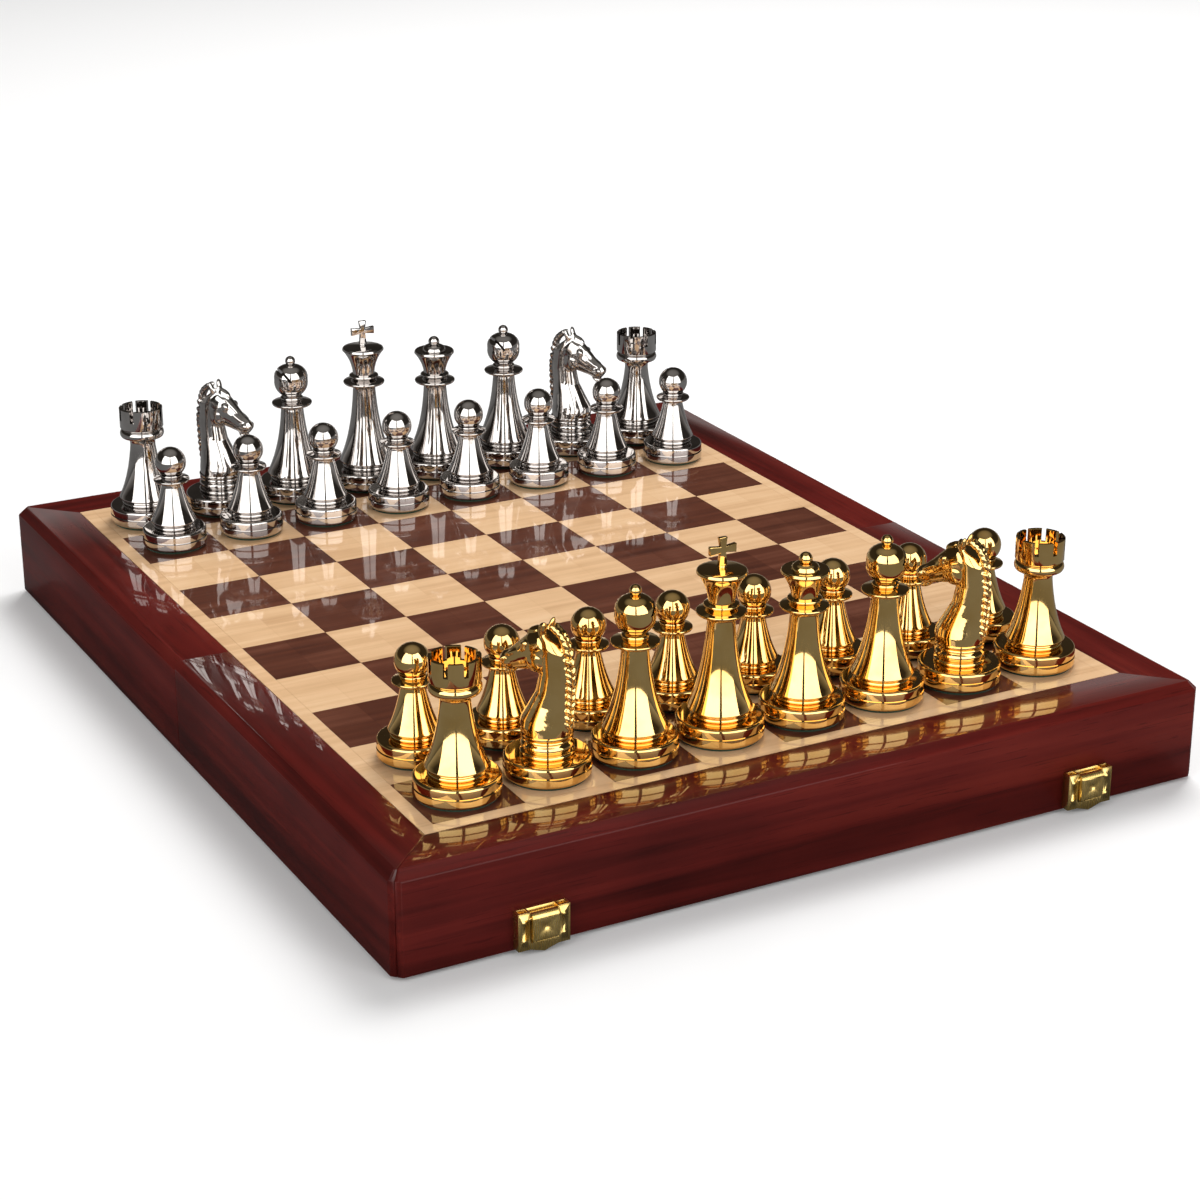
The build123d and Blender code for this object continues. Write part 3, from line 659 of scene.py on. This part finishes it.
def rookForm():
    neck, flare, outside, top = rook["neck"] / 2, rook["flare"] / 2, rook["turret"] / 2, rook["height"]
    turretZ, inside, edge = rook["turretZ"], outside - rook["wall"], rook["edge"]
    bm = turned(baseStations(rook) + bellStations(rook)
                + [(neck, rook["neckZ"] + rook["stem"]),
                   (flare - rook["flareIn"], turretZ - rook["flareDown"],
                    neck + rook["pullOut"], turretZ - rook["pullDown"]),
                   (flare - rook["ringIn"], turretZ - rook["ringDown"], rook["ringBow"]),
                   (outside - rook["gapIn"], turretZ - rook["gapDown"]),
                   (outside, turretZ + rook["footUp"], rook["footBow"]), (outside, top - edge),
                   (outside - edge, top), (inside + edge, top), (inside, top - edge),
                   (inside, turretZ + rook["floorUp"]), (0, turretZ + rook["floorMiddle"])])
    size = (rook["wall"] * 4, rook["slotWidth"], rook["slotDepth"] * 2)
    cutters = [boxOf(size, Matrix.Rotation(i * 2 * math.pi / rook["slots"], 4, "Z")
                     @ Matrix.Translation((outside, 0, top))) for i in range(rook["slots"])]
    return cutWith(bm, cutters)


def bishopForm():
    neck, head, ball = bishop["neck"] / 2, bishop["head"] / 2, bishop["ball"] / 2
    collarZ = bishop["neckZ"] + bishop["collarUp"]
    ballZ, wideZ = bishop["height"] - ball, collarZ + bishop["headRise"]
    bm = turned(baseStations(bishop) + bellStations(bishop)
                + collarStations(bishop["collar"] / 2, collarZ, neck - bishop["collarIn"])
                + [(neck - bishop["ringIn"], collarZ + bishop["ringUp"], bishop["ringBow"]),
                   (neck - bishop["throatIn"], collarZ + bishop["throatUp"]),
                   (head, wideZ, bishop["lowerBow"])]
                + ballStations(ball, ballZ, ball * bishop["ballFoot"], bishop["upperBow"]))
    slit = (bishop["slit"], bishop["head"] * 2, bishop["head"])
    aside = head * bishop["slitShare"]
    tilt = Matrix.Rotation(math.radians(bishop["slitAngle"]), 4, "Y")
    return cutWith(bm, [boxOf(slit, Matrix.Translation((aside, 0, wideZ + aside)) @ tilt)])


def queenForm():
    dome, ball, rimZ = queen["dome"] / 2, queen["ball"] / 2, queen["crownZ"]
    return turned(baseStations(queen) + bellStations(queen) + crownStations(queen)
                  + [(dome + queen["domeLedge"], rimZ + queen["ledgeUp"]), (dome, rimZ + queen["domeUp"])]
                  + ballStations(ball, queen["height"] - ball, ball * queen["ballFoot"], queen["domeBow"]))


def kingForm():
    knob, rimZ, top = king["knob"] / 2, king["crownZ"], king["height"]
    foot = top - king["crossHeight"]
    bm = turned(baseStations(king) + bellStations(king) + crownStations(king)
                + [(king["crown"] / 2 - king["ledgeIn"], rimZ + king["ledgeUp"]),
                   (knob - king["knobFootIn"], rimZ + king["knobFootUp"]),
                   (knob - king["knobTopIn"], foot + king["sunk"], king["knobBow"]),
                   (0, foot + king["sunk"])])
    wide, narrow, reach = king["crossArm"] / 2, king["crossArm"] / 3, king["crossWidth"] / 2
    mid = foot + king["crossMiddle"] * (top - foot)
    outline = [(-wide, foot), (wide, foot), (narrow, mid - narrow), (reach, mid - wide), (reach, mid + wide),
               (narrow, mid + narrow), (wide, top), (-wide, top), (-narrow, mid + narrow),
               (-reach, mid + wide), (-reach, mid - wide), (-narrow, mid - narrow)]
    cross = bmesh.new()
    face = cross.faces.new([cross.verts.new((x, -king["crossPlate"] / 2, z)) for x, z in outline])
    grown = bmesh.ops.extrude_face_region(cross, geom=[face])
    moved = [v for v in grown["geom"] if isinstance(v, bmesh.types.BMVert)]
    bmesh.ops.translate(cross, vec=(0, king["crossPlate"], 0), verts=moved)
    bmesh.ops.recalc_face_normals(cross, faces=cross.faces)
    bmesh.ops.bevel(cross, geom=list(cross.edges), offset=king["crossEase"], affect="EDGES", segments=2,
                    profile=0.5, material=-1)
    merge(bm, cross)
    return bm


def oval(bm, forward, z, lean, deep, wide):
    matrix = (Matrix.Translation((0, forward, z)) @ Matrix.Rotation(math.radians(lean), 4, "X")
              @ Matrix.Diagonal((wide, deep, 1, 1)))
    made = bmesh.ops.create_circle(bm, cap_ends=False, radius=1.0, segments=knight["ovalPoints"],
                                   matrix=matrix)
    return made["verts"]


# A closed skin through a row of ovals: forward, height, lean, half depth and half width of each
def skinned(sections):
    bm = bmesh.new()
    rings = [oval(bm, *section) for section in sections]
    loops = [[e for e in bm.edges if e.verts[0] in ring and e.verts[1] in ring] for ring in map(set, rings)]
    for first, second in zip(loops, loops[1:]):
        bmesh.ops.bridge_loops(bm, edges=first + second)
    bmesh.ops.contextual_create(bm, geom=loops[0])
    bmesh.ops.contextual_create(bm, geom=loops[-1])
    bmesh.ops.recalc_face_normals(bm, faces=bm.faces)
    return bm


# An egg-shaped lump of the knight's modelling
def lump(place, radii, tip=0, twist=0):
    bm = bmesh.new()
    spin = Matrix.Rotation(math.radians(tip), 4, "X") @ Matrix.Rotation(math.radians(twist), 4, "Y")
    bmesh.ops.create_icosphere(bm, subdivisions=3, radius=1.0,
                               matrix=Matrix.Translation(place) @ spin @ Matrix.Diagonal((*radii, 1)))
    return bm


# The point and direction at a share of the way along a smooth row of points
def along(points, share):
    place = share * (len(points) - 1)
    i = min(int(place), len(points) - 2)
    t = place - i
    before, after = points[max(i - 1, 0)], points[min(i + 2, len(points) - 1)]
    p, q = Vector(points[i]), Vector(points[i + 1])
    m, n = (q - Vector(before)) / 2, (Vector(after) - p) / 2
    where = (p * (2 * t ** 3 - 3 * t ** 2 + 1) + m * (t ** 3 - 2 * t ** 2 + t) + q * (3 * t ** 2 - 2 * t ** 3)
             + n * (t ** 3 - t ** 2))
    return where, (q - p).normalized()


def knightForm():
    top, ringZ, lean = knight["height"], knight["ringZ"], knight["headLean"]
    neckOvals = [(0, ringZ - 0.6, 0, 8.0, 7.9), (0.3, ringZ + 2.2, -2, 8.6, 7.7),
                 (0.3, ringZ + 5, -6, 8.4, 7.0), (-0.8, ringZ + 9.5, -10, 7.2, 5.7),
                 (-2.4, ringZ + 14.5, -10, 5.9, 4.6), (-3.3, ringZ + 20, -2, 5.4, 4.1),
                 (-2.7, top - 9, 14, 5.2, 3.9), (-1.4, top - 5.2, 30, 4.2, 3.2), (0, top - 3.6, 45, 2.8, 2.3)]
    headOvals = [(-3.2, top - 8.0, lean, 3.6, 2.8), (-0.4, top - 9.2, lean, 5.8, 4.0),
                 (2.8, top - 11.0, lean, 6.3, 4.3), (6.0, top - 12.8, lean, 5.4, 3.7),
                 (9.2, top - 14.5, lean, 4.3, 3.0), (12.0, top - 15.9, lean, 3.5, 2.6),
                 (14.2, top - 16.9, lean - 2, 3.3, 2.7), (15.8, top - 17.6, lean - 6, 2.3, 2.0)]
    horse = skinned(neckOvals)
    merge(horse, skinned(headOvals))
    for side in (-1, 1):
        merge(horse, lump((side * 2.2, 2.2, top - 13.4), (2.4, 4.2, 4.2)))  # cheek
        merge(horse, lump((side * 3.1, 6.4, top - 8.9), (0.95, 1.5, 0.95), -28))  # brow
        merge(horse, lump((side * 3.5, 6.4, top - 10.2), (0.55, 0.85, 0.75)))  # eye
        merge(horse, lump((side * 2.2, 14.9, top - 15.9), (0.9, 1.2, 0.95), -30))  # nostril
        merge(horse, lump((side * 2.2, 10.8, top - 12.7), (0.7, 3.6, 0.7), -28))  # nose ridge
        merge(horse, lump((side * 2.3, -0.4, top - 2.9), (1.25, 0.95, 2.9), 16, side * 10))  # ear
        merge(horse, lump((side * 3.4, -0.6, ringZ + 12), (1.5, 1.5, 8.5), 12, -side * 9))  # neck muscle
    merge(horse, lump((0, 13.0, top - 19.9), (2.1, 2.4, 1.0), -25))  # lower lip
    merge(horse, lump((0, 3.4, top - 4.6), (1.7, 3.6, 1.6), -22))  # forelock
    crest = [(0, -7.4, ringZ + 0.6), (0, -8.2, ringZ + 5), (0, -8.7, ringZ + 11), (0, -8.9, ringZ + 17),
             (0, -8.8, ringZ + 22), (0, -7.8, top - 8.6), (0, -5.8, top - 4.6), (0, -3.2, top - 2.4)]
    count = knight["plaits"]
    for i in range(count):
        where, way = along(crest, (i + 0.5) / count)
        lean = math.degrees(math.atan2(way.y, way.z))
        for side in (-1, 1):
            aside = Vector((side * knight["plaitAside"], 0, 0))
            merge(horse, lump(where + aside, knight["plait"], -lean, side * knight["plaitTwist"]))
    barrel, ring, barrelZ, low = knight["barrel"] / 2, knight["ring"] / 2, knight["barrelZ"], stand["height"]
    # The turned foot under the horse, above the base
    foot = [(barrel - 0.6, low + 0.2), (barrel - 0.4, low + stand["ring"], 0.5),
            (barrel - 1.2, low + stand["ring"] + 0.4), (barrel - 1.0, barrelZ, 0.9),
            (ring - 0.8, barrelZ + 0.4), (ring - 0.2, barrelZ + 1.4, 0.4), (ring - 0.7, barrelZ + 1.6),
            (ring, ringZ, 0.35)]
    whole = fused(horse)
    merge(whole, turned(baseStations(knight) + foot))
    return whole


# One skin over overlapping lumps: voxel remesh, then a light smoothing
def fused(bm):
    holder = bpy.data.objects.new("lumps", bpy.data.meshes.new("lumps"))
    bm.to_mesh(holder.data)
    bm.free()
    bpy.context.scene.collection.objects.link(holder)
    remesh = holder.modifiers.new("skin", "REMESH")
    remesh.mode = "VOXEL"
    remesh.voxel_size = knight["voxel"]
    soften = holder.modifiers.new("soften", "SMOOTH")
    soften.factor = knight["smoothing"]
    soften.iterations = knight["smoothSteps"]
    result = bmesh.new()
    result.from_mesh(holder.evaluated_get(bpy.context.evaluated_depsgraph_get()).data)
    bpy.data.objects.remove(holder)
    return result


# Add the felt pad under a form as its second material
def withFelt(bm, size):
    count = len(bm.faces)
    pad = bmesh.new()
    radius = size["base"] / 2 - stand["feltInset"]
    bmesh.ops.create_cone(pad, cap_ends=True, segments=turning["steps"], radius1=radius, radius2=radius,
                          depth=stand["felt"], matrix=Matrix.Translation((0, 0, stand["felt"] / 2)))
    merge(bm, pad)
    bm.faces.ensure_lookup_table()
    for face in bm.faces[count:]:
        face.material_index = 1
    return bm


kinds = {"pawn": (pawnForm, pawn), "rook": (rookForm, rook), "bishop": (bishopForm, bishop),
         "queen": (queenForm, queen), "king": (kingForm, king), "knight": (knightForm, knight)}
forms = {}
for kind, (make, size) in kinds.items():
    form = withFelt(make(), size)
    bmesh.ops.transform(form, matrix=Matrix.Scale(mm, 4), verts=form.verts)
    mesh = bpy.data.meshes.new(kind + "Form")
    form.to_mesh(mesh)
    form.free()
    forms[kind] = mesh
    print("form", kind, len(mesh.polygons))


def middleOf(node):
    low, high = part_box(node)
    return (low + high) / 2


for node in sorted(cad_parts):
    colour, _, rest = node.partition("_")
    if colour not in ("gold", "silver"):
        continue
    kind, _, letter = rest.partition("_")
    file = middleOf(f"{colour}_pawn_{letter}")
    rank = file if kind == "pawn" else middleOf(f"{colour}_rook_a")
    turn = (0 if colour == "gold" else 180) + (knight["turn"] if kind == "knight" else 0)
    square = Matrix.Translation((file.x, rank.y, board["top"])) @ Matrix.Rotation(math.radians(turn), 4, "Z")
    bm = bmesh.new()
    bm.from_mesh(forms[kind])
    bmesh.ops.transform(bm, matrix=square, verts=bm.verts)
    keep(f"{colour}{kind.capitalize()}{letter.upper()}", bm, [finishes[colour], finishes["felt"]], node, node)
for mesh in forms.values():
    bpy.data.meshes.remove(mesh)
print("pieces placed")


# Studio: floor, dome, softboxes and camera

studio = {
    "floorSize": 12.0,
    "floorColour": (0.80, 0.795, 0.79),
    "floorGlow": 0.1,
    "floorShine": 0.22,
    "domeRadius": 7.0,
    "domeStops": [(0.0, (0.34, 0.33, 0.32)), (0.1, (0.16, 0.15, 0.14)), (0.2, (0.035, 0.03, 0.026)),
                  (0.7, (0.03, 0.026, 0.022)), (0.86, (0.20, 0.19, 0.175)), (1.0, (0.28, 0.265, 0.25))],
    "worldFill": 0.32,
    "panelAzimuths": ((-61.0, -1.0), (7.0, 66.0)),
    "panelDistance": 2.2,
    "panelTop": 3.1,
    "panelSteps": 12,
    "panelColour": (1.0, 0.985, 0.96),
    "panelGlow": 3.0,
    "keyElevation": 32,
    "keyDistance": 1.9,
    "keySize": (0.9, 1.1),
    "keyPower": 9.0,
    "overheadAzimuth": 160,
    "overheadElevation": 58,
    "overheadDistance": 2.0,
    "overheadSize": (1.1, 1.1),
    "overheadPower": 36.0,
    "aimHeight": 0.04,
}
photo = {
    "focalPixels": 2753.76,
    "framePixels": 1200,
    "sensor": 36.0,
    "target": (0.0062, -0.0187, 0.036),
    "back": (-0.4405, -0.8186, 0.3685),
    "distance": 0.99983,
}


def stageObject(name, bm, material):
    mesh = bpy.data.meshes.new(name)
    bm.to_mesh(mesh)
    bm.free()
    mesh.materials.append(material)
    thing = bpy.data.objects.new(name, mesh)
    bpy.context.scene.collection.objects.link(thing)
    return thing


# A glow that is seen in polished faces, and not by way of a matt one
def glowFinish(name, colour, strength):
    f = Finish(name)
    path = f.node("LightPath").socket.node
    direct = Val(f.tree, path.outputs["Diffuse Depth"]) < 0.5
    glow = f.node("Emission", {}, {"Color": colour(f) if callable(colour) else (*colour, 1),
                                   "Strength": direct * strength})
    f.node("OutputMaterial", {}, {"Surface": glow})
    return f.material


def floorFinish():
    f = Finish("paleFloor")
    cloud = f.noise(3, detail=2.0)
    faint = tuple(c * 0.995 for c in studio["floorColour"])
    colour = f.ramp(cloud, [(0.0, faint), (1.0, studio["floorColour"])])
    path = f.node("LightPath").socket.node
    seen, shine = (Val(f.tree, path.outputs[kind]) for kind in ("Is Camera Ray", "Is Glossy Ray"))
    dimmed = f.mix(shine, (1, 1, 1), (studio["floorShine"],) * 3)
    matt = f.node("BsdfDiffuse", {}, {"Color": f.mix(1.0, colour, dimmed, "MULTIPLY")})
    glow = f.node("Emission", {}, {"Color": (1, 1, 1, 1), "Strength": seen * studio["floorGlow"]})
    both = f.node("AddShader", {}, {0: matt, 1: glow})
    f.node("OutputMaterial", {}, {"Surface": both})
    return f.material


# What polished metal and lacquer reflect round about: dim low down, grey-brown overhead
def domeColour(f):
    return f.ramp(xyz(f)[2] / studio["domeRadius"], studio["domeStops"])


def seenInMetal(thing):
    for way in ("camera", "diffuse", "shadow", "transmission", "volume_scatter"):
        setattr(thing, "visible_" + way, False)


floor = bmesh.new()
bmesh.ops.create_grid(floor, x_segments=1, y_segments=1, size=studio["floorSize"])
stageObject("floor", floor, floorFinish())
dome = bmesh.new()
bmesh.ops.create_uvsphere(dome, u_segments=64, v_segments=48, radius=studio["domeRadius"])
bmesh.ops.delete(dome, geom=[v for v in dome.verts if v.co.z < -0.01], context="VERTS")
bmesh.ops.reverse_faces(dome, faces=dome.faces)
seenInMetal(stageObject("dome", dome, glowFinish("studioDome", domeColour, 1.0)))

cameraHeading = math.atan2(photo["back"][1], photo["back"][0])


# A tall curved softbox between two azimuths from the camera's side, seen only in polished faces
def panel(name, first, last):
    bm = bmesh.new()
    columns = []
    for i in range(studio["panelSteps"] + 1):
        heading = cameraHeading + math.radians(first + (last - first) * i / studio["panelSteps"])
        x, y = (studio["panelDistance"] * w for w in (math.cos(heading), math.sin(heading)))
        columns.append([bm.verts.new((x, y, z)) for z in (0.0, studio["panelTop"])])
    for (a, b), (c, d) in zip(columns, columns[1:]):
        bm.faces.new((a, b, d, c))
    seenInMetal(stageObject(name, bm, glowFinish(name, studio["panelColour"], studio["panelGlow"])))


# An area light aimed at the board, at an azimuth measured from the camera's side
def softLight(name, kind, azimuth):
    heading = cameraHeading + math.radians(azimuth)
    rise = math.radians(studio[kind + "Elevation"])
    way = Vector((math.cos(heading) * math.cos(rise), math.sin(heading) * math.cos(rise), math.sin(rise)))
    light = bpy.data.lights.new(name, "AREA")
    light.shape = "RECTANGLE"
    light.size, light.size_y = studio[kind + "Size"]
    light.energy = studio[kind + "Power"]
    lamp = bpy.data.objects.new(name, light)
    lamp.location = way * studio[kind + "Distance"] + Vector((0, 0, studio["aimHeight"]))
    lamp.rotation_euler = way.to_track_quat("Z", "Y").to_euler()
    lamp.visible_camera = False
    lamp.visible_glossy = False
    bpy.context.scene.collection.objects.link(lamp)


for side, (first, last) in zip(("Left", "Right"), studio["panelAzimuths"]):
    panel("softbox" + side, first, last)
    softLight("key" + side, "key", (first + last) / 2)
softLight("overhead", "overhead", studio["overheadAzimuth"])

world = bpy.data.worlds.new("studioWorld")
bpy.context.scene.world = world
world.use_nodes = True
air = world.node_tree
air.nodes.clear()
path = air.nodes.new("ShaderNodeLightPath")
bright = Val(air, path.outputs["Is Camera Ray"]).math("MAXIMUM", Val(air, path.outputs["Is Glossy Ray"]))
bright = bright.math("MAXIMUM", Val(air, path.outputs["Is Transmission Ray"]))
backdrop = air.nodes.new("ShaderNodeBackground")
backdrop.inputs["Color"].default_value = (1, 1, 1, 1)
air.links.new((bright * (1 - studio["worldFill"]) + studio["worldFill"]).socket, backdrop.inputs["Strength"])
air.links.new(backdrop.outputs[0], air.nodes.new("ShaderNodeOutputWorld").inputs["Surface"])

camera = bpy.data.cameras.new("camera")
camera.sensor_width = photo["sensor"]
camera.lens = photo["focalPixels"] / photo["framePixels"] * photo["sensor"]
camera.clip_start = 0.01
eye = bpy.data.objects.new("camera", camera)
back = Vector(photo["back"]).normalized()
eye.location = Vector(photo["target"]) + back * photo["distance"]
eye.rotation_euler = back.to_track_quat("Z", "Y").to_euler()
bpy.context.scene.collection.objects.link(eye)
bpy.context.scene.camera = eye
bpy.context.scene.view_settings.view_transform = "Standard"
print("studio set")
